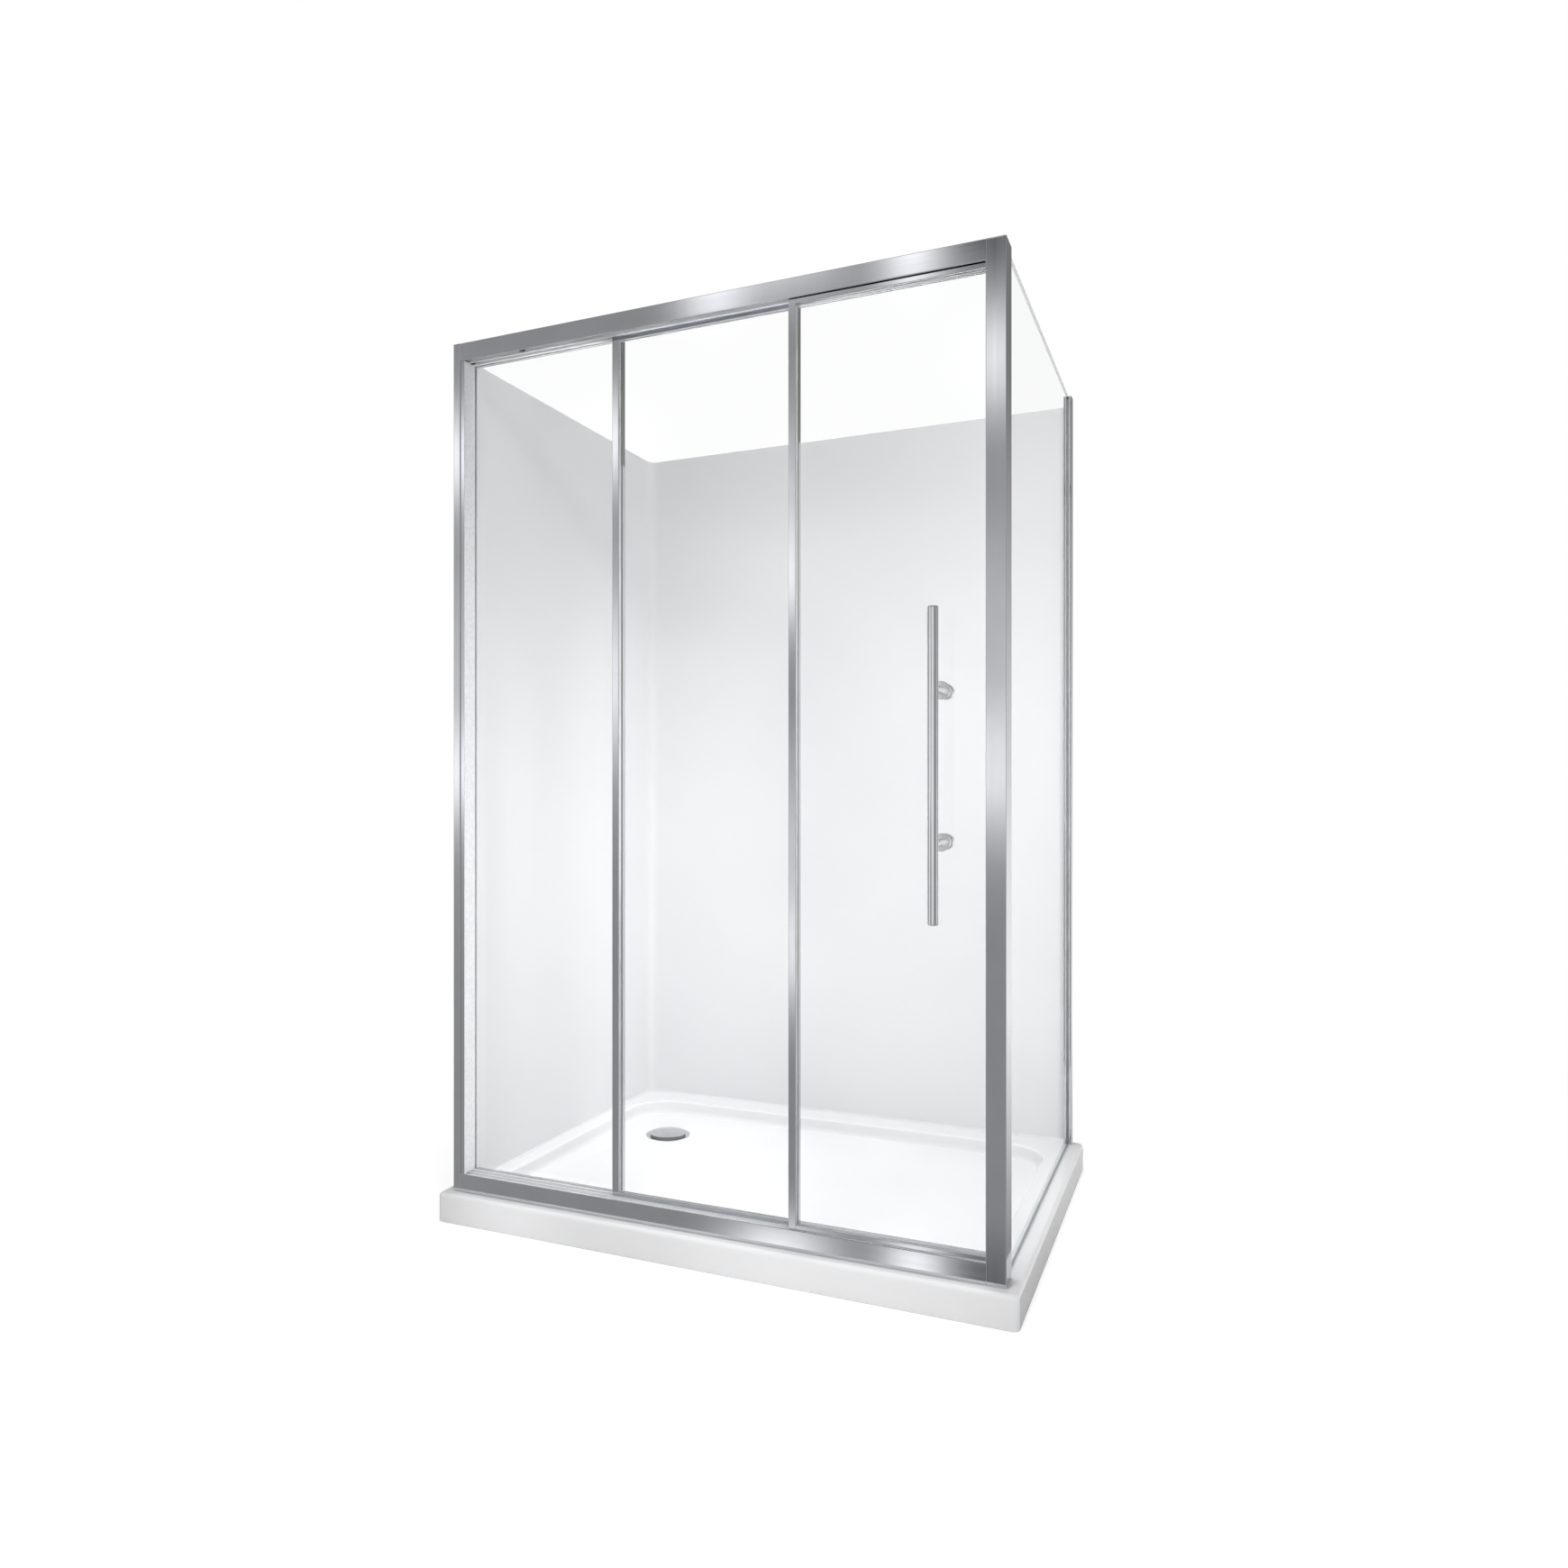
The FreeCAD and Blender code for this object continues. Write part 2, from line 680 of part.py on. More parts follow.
def make_stile(x0, centre, groove_side, z0, z1, hook_kind):
    """An upright 15 mm profile; groove_side is 1 where the glass lies towards +X."""
    stile = box(x0, x0 + stile_width, centre - stile_depth / 2, centre + stile_depth / 2, z0, z1)
    stile = rounded(stile, edge_radius, upright)
    if groove_side > 0:
        channel = groove(x0 + stile_width - groove_depth, x0 + stile_width, centre, z0, z1)
    else:
        channel = groove(x0, x0 + groove_depth, centre, z0, z1)
    stile = stile.cut(channel)
    if hook_kind:
        stile = joined([stile, hook(x0, hook_kind[0], centre, hook_kind[1])])
    return stile


def make_fixed_panel():
    stile_left = fixed_stile_left
    glass = slab(adjuster_right - glass_bite, stile_left + glass_bite, fixed_lane,
                 sill_top - glass_bite, head_bottom + glass_bite)
    write("fixed_glass", glass)
    stile = make_stile(stile_left, fixed_lane, -1, sill_top, head_bottom, front_hook)
    write("fixed_stile", stile)
    strips = [
        groove(adjuster_right - groove_depth, adjuster_right, fixed_lane, sill_top, head_bottom),
        groove(stile_left, stile_left + groove_depth, fixed_lane, sill_top, head_bottom),
        groove(adjuster_right - groove_depth, stile_left + groove_depth, fixed_lane,
               sill_top - groove_depth, sill_top),
        groove(adjuster_right - groove_depth, stile_left + groove_depth, fixed_lane,
               head_bottom, head_bottom + groove_depth),
    ]
    write("fixed_gasket", *[strip.cut(glass) for strip in strips])


def bracket_places(x0, x1):
    return [x0 + bracket_from_end, x1 - bracket_from_end]


def shoe_places(x0, x1):
    return [x0 + shoe_from_end, x1 - shoe_from_end]


axle_height = ledge_top + running_gap + wheel_diameter / 2


def plate_faces(centre):
    """The front and rear of the hanger plate, in front of the wheel."""
    rear = centre - plate_behind_centre
    return rear - bracket_plate, rear


def wheel_faces(centre):
    front = plate_faces(centre)[1] + running_gap
    return front, front + wheel_thickness


def make_brackets(x0, x1, centre):
    foot_bottom = door_top - (top_rail_height - groove_depth - rail_web)
    plate_front, plate_rear = plate_faces(centre)
    foot_half = groove_half - bracket_foot_clearance
    brackets = []
    for x in bracket_places(x0, x1):
        foot = box(x - bracket_foot_length / 2, x + bracket_foot_length / 2,
                   centre - foot_half, centre + foot_half, foot_bottom, door_top)
        plate = box(x - bracket_width / 2, x + bracket_width / 2, plate_front, plate_rear,
                    foot_bottom, axle_height + bracket_top_margin)
        bracket = joined([foot, plate])
        bracket = rounded(bracket, bracket_top_margin,
                          lambda a, b: near(a.z, b.z) and near(a.x, b.x)
                          and near(a.z, axle_height + bracket_top_margin))
        hole = rod(axle_diameter / 2, bracket_plate, V(x, plate_front, axle_height), AXIS_Y)
        brackets.append(bracket.cut(hole))
    return brackets


def make_axles(x0, x1, centre):
    plate_front = plate_faces(centre)[0]
    shank_end = wheel_faces(centre)[1] + running_gap
    axles = []
    for x in bracket_places(x0, x1):
        head = rod(axle_head_diameter / 2, axle_head_thickness,
                   V(x, plate_front - axle_head_thickness, axle_height), AXIS_Y)
        shank = rod(axle_diameter / 2, shank_end - plate_front, V(x, plate_front, axle_height), AXIS_Y)
        rivet = rod(axle_head_diameter / 2, axle_head_thickness, V(x, shank_end, axle_height), AXIS_Y)
        axles.append(joined([head, shank, rivet]))
    return axles


def make_wheel(x, centre):
    front, rear = wheel_faces(centre)
    wheel = rod(wheel_diameter / 2, rear - front, V(x, front, axle_height), AXIS_Y)
    wheel = rounded_circles(wheel, wheel_edge_radius, wheel_diameter)
    return wheel.cut(rod(wheel_bore / 2, rear - front, V(x, front, axle_height), AXIS_Y))


def make_shoes(x0, x1, centre):
    """Nylon guides: a block in the sill's lane with a tongue up in the bottom rail."""
    tongue_top = door_bottom + bottom_rail_height - groove_depth - rail_web
    shoes = []
    for x in shoe_places(x0, x1):
        block = box(x - shoe_length / 2, x + shoe_length / 2, centre - lane_half + shoe_side_gap,
                    centre + lane_half - shoe_side_gap, sill_deck + shoe_floor_gap, door_bottom)
        tongue = groove(x - shoe_length / 2, x + shoe_length / 2, centre, door_bottom, tongue_top)
        shoes.append(joined([block, tongue]))
    return shoes


def door_screws(x0, x1, centre):
    """Screws along X through each stile into the web of each rail: holes with heads, and the screws."""
    heights = [
        door_top - (top_rail_height - groove_depth - rail_web / 2),
        door_bottom + bottom_rail_height - groove_depth - rail_web / 2,
    ]
    screws = []
    for z in heights:
        for x, direction in ((x0, AXIS_X), (x1, -AXIS_X)):
            start = V(x, centre, z)
            shank = rod(door_screw_diameter / 2, door_screw_length, start, direction)
            head = rod(door_screw_head_diameter / 2, door_screw_head, start, direction)
            screws.append(shank.fuse(head).removeSplitter())
    return screws


def make_sliding_panel(name, x0, x1, centre, left_hook, right_hook, glass_holes):
    inner_left = x0 + stile_width
    inner_right = x1 - stile_width
    top_rail_bottom = door_top - top_rail_height
    bottom_rail_top = door_bottom + bottom_rail_height
    glass_bottom = bottom_rail_top - glass_bite
    glass_top = top_rail_bottom + glass_bite
    screws = door_screws(x0, x1, centre)

    glass = slab(inner_left - glass_bite, inner_right + glass_bite, centre, glass_bottom, glass_top)
    write(name + "_glass", without(glass, glass_holes))
    left = make_stile(x0, centre, 1, door_bottom, door_top, left_hook)
    right = make_stile(inner_right, centre, -1, door_bottom, door_top, right_hook)
    write(name + "_left_stile", without(left, screws))
    write(name + "_right_stile", without(right, screws))

    front = centre - stile_depth / 2
    rear = centre + stile_depth / 2
    top_rail = box(inner_left, inner_right, front, rear, top_rail_bottom, door_top)
    top_rail = rounded(top_rail, edge_radius, lambda a, b: long_edge(a, b) and near(a.z, top_rail_bottom))
    top_rail = top_rail.cut(groove(inner_left, inner_right, centre, top_rail_bottom,
                                   top_rail_bottom + groove_depth))
    web_top = top_rail_bottom + groove_depth + rail_web
    top_rail = top_rail.cut(groove(inner_left, inner_right, centre, web_top, door_top))
    write(name + "_top_rail", without(top_rail, screws))
    bottom_rail = box(inner_left, inner_right, front, rear, door_bottom, bottom_rail_top)
    bottom_rail = rounded(bottom_rail, edge_radius,
                          lambda a, b: long_edge(a, b) and near(a.z, bottom_rail_top))
    bottom_rail = bottom_rail.cut(groove(inner_left, inner_right, centre,
                                         bottom_rail_top - groove_depth, bottom_rail_top))
    web_bottom = bottom_rail_top - groove_depth - rail_web
    bottom_rail = bottom_rail.cut(groove(inner_left, inner_right, centre, door_bottom, web_bottom))
    write(name + "_bottom_rail", without(bottom_rail, screws))

    low = glass_bottom - gasket_back
    high = glass_top + gasket_back
    strips = [
        groove(inner_left - groove_depth, inner_left, centre, low, high),
        groove(inner_right, inner_right + groove_depth, centre, low, high),
        groove(inner_left, inner_right, centre, low, bottom_rail_top),
        groove(inner_left, inner_right, centre, top_rail_bottom, high),
    ]
    write(name + "_gasket", *[strip.cut(glass) for strip in strips])
    write(name + "_roller_brackets", *make_brackets(x0, x1, centre))
    write(name + "_roller_axles", *make_axles(x0, x1, centre))
    for side, x in zip(("left", "right"), bracket_places(x0, x1)):
        write(name + "_roller_" + side, make_wheel(x, centre))
    write(name + "_guide_shoes", *make_shoes(x0, x1, centre))
    write(name + "_panel_screws", *screws)


# ---------------------------------------------------------------- handle

handle_x = post_left - handle_from_post
glass_front = lead_lane - door_glass / 2
glass_rear = lead_lane + door_glass / 2
handle_y = glass_front - handle_standoff
handle_z = rim + handle_centre_height
stem_levels = [handle_z + side * stem_spacing / 2 for side in (-1, 1)]
bush_holes = [rod(bush_diameter / 2, door_glass, V(handle_x, glass_front, z), AXIS_Y) for z in stem_levels]


def handle_rod(diameter, y0, y1, z):
    return rod(diameter / 2, y1 - y0, V(handle_x, y0, z), AXIS_Y)


def make_handle():
    socket_front = handle_y + handle_diameter / 2 - stem_socket
    rosette_rear = glass_front - washer_thickness
    rosette_front = rosette_rear - rosette_thickness
    knob_front = glass_rear + washer_thickness
    stud_rear = knob_front + knob_socket
    bar_foot = V(handle_x, handle_y, handle_z - handle_length / 2)
    bar = rod(handle_diameter / 2, handle_length, bar_foot, AXIS_Z)
    stems = []
    rosettes = []
    bushes = []
    knobs = []
    plain_bar = bar
    bar = rounded_circles(bar, handle_end_radius, handle_diameter)
    for z in stem_levels:
        bar = bar.cut(handle_rod(stud_diameter, socket_front, handle_y + handle_diameter, z))
        stem = handle_rod(stem_diameter, handle_y, rosette_rear, z).cut(plain_bar)
        spigot = handle_rod(stud_diameter, socket_front, handle_y + handle_diameter, z)
        stud = handle_rod(stud_diameter, rosette_rear, stud_rear, z)
        stems.append(joined([stem, spigot, stud]))
        rosette = handle_rod(rosette_diameter, rosette_front, rosette_rear, z)
        rosette = rounded_circles(rosette, edge_radius, rosette_diameter,
                                  lambda c: near(c.y, rosette_front))
        rosettes.append(rosette.cut(handle_rod(stem_diameter, rosette_front, rosette_rear, z)))
        bush = joined([
            handle_rod(washer_diameter, rosette_rear, glass_front, z),
            handle_rod(bush_diameter, glass_front, glass_rear, z),
            handle_rod(washer_diameter, glass_rear, knob_front, z),
        ])
        bushes.append(bush.cut(handle_rod(stud_diameter, rosette_rear, knob_front, z)))
        neck_rear = knob_front + knob_neck_length
        knob_rear = knob_front + knob_length
        head = handle_rod(knob_diameter, neck_rear, knob_rear, z)
        head = rounded_circles(head, knob_edge_radius, knob_diameter)
        knob = joined([handle_rod(knob_neck_diameter, knob_front, neck_rear + knob_edge_radius, z), head])
        knobs.append(knob.cut(handle_rod(stud_diameter, knob_front, stud_rear, z)))
    write("handle_bar", bar)
    write("handle_stems", *stems)
    write("handle_rosettes", *rosettes)
    write("handle_bushes", *bushes)
    write("handle_knobs", *knobs)


def make_closing_seal():
    right = post_left + post_pocket_depth - closing_seal_gap
    write("lead_closing_seal", box(lead_right, right, lead_lane - closing_seal_width / 2,
                                   lead_lane + closing_seal_width / 2, sill_top, head_bottom))


# ---------------------------------------------------------------- return panel

def make_return_panel():
    profile_top = frame_top - cap_thickness
    channel_front = tray_back - return_channel_depth
    channel_left = frame_right - return_channel_width
    groove_end = channel_front + return_groove_depth
    channel = joined([
        box(channel_left, frame_right, tray_back - wall_thickness, tray_back, rim, profile_top),
        box(channel_left, channel_left + wall_thickness, channel_front, tray_back, rim, profile_top),
        box(frame_right - wall_thickness, frame_right, channel_front, tray_back, rim, profile_top),
        box(channel_left, frame_right, channel_front, groove_end + groove_rib, rim, profile_top),
    ])
    channel = channel.cut(box(return_x - return_groove_half, return_x + return_groove_half,
                              channel_front, groove_end, rim, profile_top))
    outer = lambda p: near(p.y, channel_front) and (near(p.x, channel_left) or near(p.x, frame_right))
    channel = rounded(channel, edge_radius, lambda a, b: upright(a, b) and outer(a))
    holes = wall_holes(return_x, tray_back, -AXIS_Y, return_channel_depth)
    write("return_wall_channel", without(channel, holes))
    cap = box(channel_left, frame_right, channel_front, tray_back, profile_top, frame_top)
    write("return_channel_cap", cap)

    half = return_glass_thickness / 2
    glass_bottom = rim + return_seal_height
    glass = box(return_x - half, return_x + half, frame_back - return_bite, channel_front + return_bite,
                glass_bottom, profile_top)
    write("return_glass", glass)
    strips = [
        box(return_x - return_groove_half, return_x + return_groove_half, y0, y1, glass_bottom, profile_top)
        for y0, y1 in ((frame_back - return_groove_depth, frame_back), (channel_front, groove_end))
    ]
    write("return_gasket", *[strip.cut(glass) for strip in strips])
    seal = box(return_x - half - return_seal_wall, return_x + half + return_seal_wall,
               frame_back, channel_front, rim, glass_bottom + return_seal_lip)
    write("return_bottom_seal", seal.cut(glass))


write("shower_tray", make_tray())
make_waste()
make_waste_cover()
make_liner()
make_head_rail()
make_sill_rail()
make_wall_channel()
make_corner_post()
make_frame_hardware()
make_fixed_panel()
make_sliding_panel("middle", middle_left, middle_right, middle_lane, rear_hook, front_hook, [])
make_sliding_panel("lead", lead_left, lead_right, lead_lane, rear_hook, None, bush_holes)
make_handle()
make_closing_seal()
make_return_panel()
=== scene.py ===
import math

import bpy
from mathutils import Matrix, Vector


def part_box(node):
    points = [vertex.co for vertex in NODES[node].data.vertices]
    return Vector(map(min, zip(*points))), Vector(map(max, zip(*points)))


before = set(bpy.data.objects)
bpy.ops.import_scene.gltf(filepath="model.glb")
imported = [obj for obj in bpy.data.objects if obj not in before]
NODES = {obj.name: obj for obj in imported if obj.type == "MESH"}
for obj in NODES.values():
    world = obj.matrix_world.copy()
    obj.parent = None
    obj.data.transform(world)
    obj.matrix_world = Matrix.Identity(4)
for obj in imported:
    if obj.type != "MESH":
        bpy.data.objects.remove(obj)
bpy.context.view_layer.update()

# Shower enclosure: a framed front with three glass panels, a corner post, a glass return,
# a white liner on two walls and a low tray. Metres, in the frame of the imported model.

MM = 0.001
X_AXIS, Y_AXIS, Z_AXIS = 0, 1, 2
WHITE = (1.0, 1.0, 1.0, 1.0)

# ---- camera ----
FRAME_PIXELS = 1740.0
FOCAL_PIXELS = 1244.9
CENTRE_PIXEL = (808.3, 877.7)
SENSOR_WIDTH = 36.0
CAMERA_PLACE = (0.9216, -2.3520, 0.9034)
CAMERA_TURN = 0.42083
CAMERA_REACH = 200.0


def make_camera():
    data = bpy.data.cameras.new("camera")
    data.sensor_fit = "HORIZONTAL"
    data.sensor_width = SENSOR_WIDTH
    data.lens = FOCAL_PIXELS / FRAME_PIXELS * SENSOR_WIDTH
    data.shift_x = (FRAME_PIXELS / 2 - CENTRE_PIXEL[0]) / FRAME_PIXELS
    data.shift_y = (CENTRE_PIXEL[1] - FRAME_PIXELS / 2) / FRAME_PIXELS
    data.clip_end = CAMERA_REACH
    camera = bpy.data.objects.new("camera", data)
    camera.location = CAMERA_PLACE
    camera.rotation_euler = (math.pi / 2, 0.0, CAMERA_TURN)
    bpy.context.scene.collection.objects.link(camera)
    bpy.context.scene.camera = camera


# ---- node trees ----
NOISE_ROUGHNESS = 0.55
# Where, in a noise of 0 to 1, the first of two tones ends and the second one starts.
TONE_START, TONE_END = 0.35, 0.65


class Tree:
    """Short calls for building one node tree."""

    def __init__(self, holder):
        holder.use_nodes = True
        self.nodes = holder.node_tree.nodes
        self.links = holder.node_tree.links
        self.nodes.clear()

    def add(self, kind, inputs=None, **settings):
        node = self.nodes.new(kind)
        for name, value in settings.items():
            setattr(node, name, value)
        for name, value in (inputs or {}).items():
            if isinstance(value, bpy.types.NodeSocket):
                self.links.new(value, node.inputs[name])
            else:
                node.inputs[name].default_value = value
        return node

    def maths(self, operation, *values):
        return self.add("ShaderNodeMath", dict(enumerate(values)), operation=operation).outputs[0]

    def dot(self, first, second):
        inputs = {0: first, 1: second}
        return self.add("ShaderNodeVectorMath", inputs, operation="DOT_PRODUCT").outputs["Value"]

    def mix(self, factor, first, second):
        return self.add("ShaderNodeMixShader", {0: factor, 1: first, 2: second}).outputs[0]

    def noise(self, scale, detail=3.0, stretch=(1.0, 1.0, 1.0)):
        here = self.add("ShaderNodeTexCoord").outputs["Object"]
        where = self.add("ShaderNodeMapping", {"Vector": here, "Scale": stretch}).outputs[0]
        inputs = {"Vector": where, "Scale": scale, "Detail": detail, "Roughness": NOISE_ROUGHNESS}
        return self.add("ShaderNodeTexNoise", inputs).outputs["Fac"]

    def span(self, value, low, high):
        """value, 0 to 1, spread over low to high."""
        inputs = {"Value": value, "To Min": low, "To Max": high}
        return self.add("ShaderNodeMapRange", inputs).outputs[0]

    def climb(self, value, start, end, shape="SMOOTHSTEP"):
        """0 where value is at start, 1 where it is at end."""
        inputs = {"Value": value, "From Min": start, "From Max": end}
        return self.add("ShaderNodeMapRange", inputs, interpolation_type=shape).outputs[0]

    def tones(self, value, first, second):
        ramp = self.add("ShaderNodeValToRGB", {"Fac": value})
        ramp.color_ramp.elements[0].position = TONE_START
        ramp.color_ramp.elements[0].color = (*first, 1.0)
        ramp.color_ramp.elements[1].position = TONE_END
        ramp.color_ramp.elements[1].color = (*second, 1.0)
        return ramp.outputs["Color"]

    def bump(self, height, strength, distance):
        inputs = {"Height": height, "Strength": strength, "Distance": distance}
        return self.add("ShaderNodeBump", inputs).outputs[0]

    def finish(self, surface):
        self.add("ShaderNodeOutputMaterial", {"Surface": surface})


def new_material(name):
    material = bpy.data.materials.new(name)
    return material, Tree(material)


# ---- finishes ----
# Noise scales are per metre and depths in metres.
FINE_DEPTH = 0.2 * MM

ACRYLIC_CLOUDS, ACRYLIC_PEEL, ACRYLIC_SMEAR = 1.7, 260.0, 9.0
ACRYLIC_SMOOTHER, ACRYLIC_ROUGHER = 0.03, 0.05
ACRYLIC_IOR = 1.49
PEEL_BUMP, PEEL_DEPTH = 0.05, 0.3 * MM

METAL_LINES, METAL_LINES_ALONG = 160.0, 1.2
METAL_SMUDGE = 14.0
METAL_STREAK = 0.02
METAL_LINE_BUMP = 0.01
# The frame rails are polished in their outer skin only.
RAIL_SKIN = 2.2 * MM
# Tones of the satin inner faces of the rails. They are partly painted light: near white, so that faces
# in shade read bright.
MILL_PAINTED_LIT_DARK, MILL_PAINTED_LIT_LIGHT = (0.84, 0.85, 0.86), (0.90, 0.91, 0.92)
MILL_METALLIC, MILL_ROUGHNESS = 0.1, 0.6

PLASTIC_CLOUDS = 30.0
PLASTIC_SPREAD = 0.05
PLASTIC_IOR = 1.5
PLASTIC_GRAIN_BUMP = 0.15

GLASS_IOR = 1.5
# The share of the real reflection that the glass shows, and the most it shows.
GLASS_SHINE, GLASS_SHINE_CAP = 0.7, 0.07
GLASS_FILM, GLASS_FILM_ROUGHNESS = 3.0, 0.04
GLASS_GRIND = 900.0
GLASS_EDGE_ROUGHNESS = 0.25
# How much of a cut edge is tinted, and the share of the pane's normal under which it's an edge.
GLASS_EDGE_PART, GLASS_EDGE_NORMAL = 0.45, 0.5

VINYL_CLOUDS, VINYL_GRAIN = 60.0, 500.0
VINYL_ROUGHNESS = 0.3
VINYL_GRAIN_BUMP = 0.1


def acrylic(name, dark, light, roughness):
    """Glossy cast acrylic: two close whites in wide clouds, and a very fine orange peel."""
    material, tree = new_material(name)
    clouds = tree.noise(ACRYLIC_CLOUDS, detail=2.0)
    peel = tree.noise(ACRYLIC_PEEL, detail=1.0)
    smear = tree.noise(ACRYLIC_SMEAR, detail=4.0)
    tree.finish(tree.add("ShaderNodeBsdfPrincipled", {
        "Base Color": tree.tones(clouds, dark, light),
        "Roughness": tree.span(smear, roughness - ACRYLIC_SMOOTHER, roughness + ACRYLIC_ROUGHER),
        "IOR": ACRYLIC_IOR,
        "Normal": tree.bump(peel, PEEL_BUMP, PEEL_DEPTH),
    }).outputs[0])
    return material


def polish(tree, dark, light, roughness, along):
    """Metal with fine lines, along one axis where one is given, as drawing or polishing leaves
    them. Gives the surface, the lines and their bump."""
    stretch = [METAL_LINES, METAL_LINES, METAL_LINES]
    if along is not None:
        stretch[along] = METAL_LINES_ALONG
    lines = tree.noise(1.0, detail=0.0, stretch=stretch)
    smudge = tree.noise(METAL_SMUDGE, detail=5.0)
    normal = tree.bump(lines, METAL_LINE_BUMP, FINE_DEPTH)
    surface = tree.add("ShaderNodeBsdfPrincipled", {
        "Base Color": tree.tones(smudge, dark, light),
        "Metallic": 1.0,
        "Roughness": tree.span(lines, roughness - METAL_STREAK, roughness + METAL_STREAK),
        "Normal": normal,
    }).outputs[0]
    return surface, lines, normal


def metal(name, dark, light, roughness, along=None):
    """Metal with one finish all over, polished or satin by its roughness."""
    material, tree = new_material(name)
    tree.finish(polish(tree, dark, light, roughness, along)[0])
    return material


def rail_metal(name, dark, light, roughness):
    """Polished outside, and a pale satin as-extruded finish on the faces inside the frame. That finish
    is partly painted light: its near-white tone makes these shaded faces read bright.
    """
    material, tree = new_material(name)
    polished, lines, normal = polish(tree, dark, light, roughness, X_AXIS)
    # Inner faces: a satin finish whose pale, near-white tone is painted light, so that the shaded
    # undersides read bright.
    satin_painted_lit = tree.add("ShaderNodeBsdfPrincipled", {
        "Base Color": tree.tones(lines, MILL_PAINTED_LIT_DARK, MILL_PAINTED_LIT_LIGHT),
        "Metallic": MILL_METALLIC,
        "Roughness": MILL_ROUGHNESS,
        "Normal": normal,
    }).outputs[0]
    low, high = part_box("head_rail")
    here = tree.add("ShaderNodeTexCoord").outputs["Object"]
    place = tree.add("ShaderNodeSeparateXYZ", {0: here}).outputs
    from_middle = tree.maths("ABSOLUTE", tree.maths("SUBTRACT", place["Y"], (low.y + high.y) / 2))
    between = tree.maths("LESS_THAN", from_middle, (high.y - low.y) / 2 - RAIL_SKIN)
    below_top = tree.maths("LESS_THAN", place["Z"], high.z - RAIL_SKIN)
    inside = tree.maths("MULTIPLY", between, below_top)
    tree.finish(tree.mix(inside, polished, satin_painted_lit))
    return material


def plastic(name, dark, light, roughness, grain=600.0):
    """Moulded plastic or rubber with a fine grain."""
    material, tree = new_material(name)
    clouds = tree.noise(PLASTIC_CLOUDS)
    tree.finish(tree.add("ShaderNodeBsdfPrincipled", {
        "Base Color": tree.tones(clouds, dark, light),
        "Roughness": tree.span(clouds, roughness - PLASTIC_SPREAD, roughness + PLASTIC_SPREAD),
        "IOR": PLASTIC_IOR,
        "Normal": tree.bump(tree.noise(grain, detail=2.0), PLASTIC_GRAIN_BUMP, FINE_DEPTH),
    }).outputs[0])
    return material


def glass(name, normal_axis, tint, edge_dark, edge_light):
    """Clear pane. Light goes straight through its faces, which reflect as glass does on the side
    where light enters, up to a cap, and its cut edges are a darker grey green."""
    material, tree = new_material(name)
    shape = tree.add("ShaderNodeNewGeometry")
    entering = tree.maths("SUBTRACT", 1.0, shape.outputs["Backfacing"])
    fresnel = tree.add("ShaderNodeFresnel", {"IOR": GLASS_IOR}).outputs[0]
    shine = tree.maths("MINIMUM", tree.maths("MULTIPLY", fresnel, GLASS_SHINE), GLASS_SHINE_CAP)
    shine = tree.maths("MULTIPLY", shine, entering)
    film = tree.noise(GLASS_FILM, detail=4.0)
    gloss = tree.add("ShaderNodeBsdfGlossy", {
        "Color": WHITE,
        "Roughness": tree.span(film, 0.0, GLASS_FILM_ROUGHNESS),
    }).outputs[0]
    clear = tree.add("ShaderNodeBsdfTransparent", {"Color": (*tint, 1.0)}).outputs[0]
    face = tree.mix(shine, clear, gloss)
    grind = tree.noise(GLASS_GRIND, detail=2.0)
    edge = tree.add("ShaderNodeBsdfPrincipled", {
        "Base Color": tree.tones(grind, edge_dark, edge_light),
        "Roughness": GLASS_EDGE_ROUGHNESS,
    }).outputs[0]
    edge_part = tree.mix(GLASS_EDGE_PART, clear, edge)
    normals = tree.add("ShaderNodeSeparateXYZ", {0: shape.outputs["True Normal"]}).outputs
    across = tree.maths("ABSOLUTE", normals[normal_axis])
    is_edge = tree.maths("LESS_THAN", across, GLASS_EDGE_NORMAL)
    tree.finish(tree.mix(is_edge, face, edge_part))
    return material


def clear_vinyl(name, dark, light, clarity):
    """Soft see-through seal."""
    material, tree = new_material(name)
    body = tree.add("ShaderNodeBsdfPrincipled", {
        "Base Color": tree.tones(tree.noise(VINYL_CLOUDS), dark, light),
        "Roughness": VINYL_ROUGHNESS,
        "Normal": tree.bump(tree.noise(VINYL_GRAIN), VINYL_GRAIN_BUMP, FINE_DEPTH),
    }).outputs[0]
    clear = tree.add("ShaderNodeBsdfTransparent", {"Color": (*light, 1.0)}).outputs[0]
    tree.finish(tree.mix(clarity, body, clear))
    return material


PROFILE = ((0.59, 0.60, 0.63), (0.62, 0.63, 0.66), 0.07)
GLASS_TONES = ((0.996, 0.998, 0.998), (0.24, 0.28, 0.27), (0.33, 0.37, 0.36))

